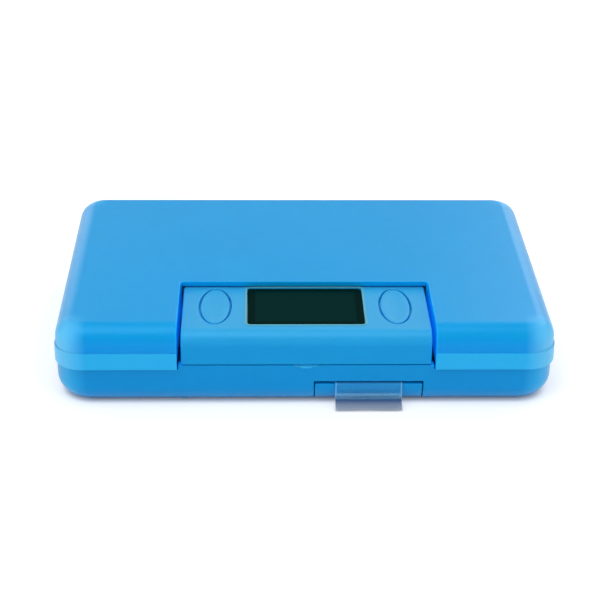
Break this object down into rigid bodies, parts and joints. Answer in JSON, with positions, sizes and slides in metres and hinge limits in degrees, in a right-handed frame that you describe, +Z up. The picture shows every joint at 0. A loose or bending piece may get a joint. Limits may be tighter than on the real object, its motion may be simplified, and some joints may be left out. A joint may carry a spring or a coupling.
{
  "type": "electronic_pill_box",
  "caption": "Blue electronic pill box: hinged lid, notched round a timer module with display and two buttons, battery drawer and pull tab",
  "frame": {"origin": "centre of the resting face, under the middle of the case", "axes": "+X to the right along the front, -Y is the front with the display, +Z up from the table"},
  "size_m": [0.1508, 0.1098, 0.026],
  "materials": {
    "base_blue": "satin",
    "lid_blue": "satin",
    "cover_blue": "satin",
    "button_blue": "satin",
    "tray_white": "satin",
    "window_dark": "polished",
    "glass_grey": "polished",
    "holder_white": "moulded",
    "strip_grey": "matte",
    "board_green": "satin",
    "chip_black": "satin",
    "switch_black": "moulded",
    "steel": "zinc plated",
    "nickel": "satin nickel",
    "film": "clear film"
  },
  "bodies": {
    "case": {"base_shell": "base_blue", "hinge_pin_left": "steel", "hinge_pin_right": "steel", "pill_tray": "tray_white", "module_cover": "cover_blue", "display_window": "window_dark", "lcd_panel": "glass_grey", "lcd_holder": "holder_white", "zebra_strip_front": "strip_grey", "zebra_strip_rear": "strip_grey", "circuit_board": "board_green", "left_switch": "switch_black", "right_switch": "switch_black", "timer_chip": "chip_black", "quartz_crystal": "nickel", "buzzer": "switch_black", "cell_contact_upper": "nickel", "cell_contact_rear": "nickel", "cover_screw_1": "steel", "cover_screw_2": "steel", "cover_screw_3": "steel", "cover_screw_4": "steel"},
    "lid": {"lid": "lid_blue"},
    "left_button": {"left_button": "button_blue"},
    "right_button": {"right_button": "button_blue"},
    "battery_drawer": {"battery_drawer": "base_blue", "coin_cell": "nickel"},
    "pull_tab": {"pull_tab": "film"}
  },
  "joints": [
    {"name": "lid_hinge", "type": "hinge", "parent": "case", "child": "lid", "pos_m": [0, 0.05325, 0.0126], "axis": [-1, 0, 0], "range_deg": [0, 115]},
    {"name": "left_button_press", "type": "slide", "parent": "case", "child": "left_button", "axis": [0, 0, -1], "range_m": [0, 0.0005], "stiffness_N_per_m": 1500, "springref_m": -0.0003},
    {"name": "right_button_press", "type": "slide", "parent": "case", "child": "right_button", "axis": [0, 0, -1], "range_m": [0, 0.0005], "stiffness_N_per_m": 1500, "springref_m": -0.0003},
    {"name": "battery_drawer_slide", "type": "slide", "parent": "case", "child": "battery_drawer", "axis": [0, -1, 0], "range_m": [0, 0.024]},
    {"name": "pull_tab_slide", "type": "slide", "parent": "battery_drawer", "child": "pull_tab", "axis": [0, -1, 0], "range_m": [0, 0.024]}
  ]
}
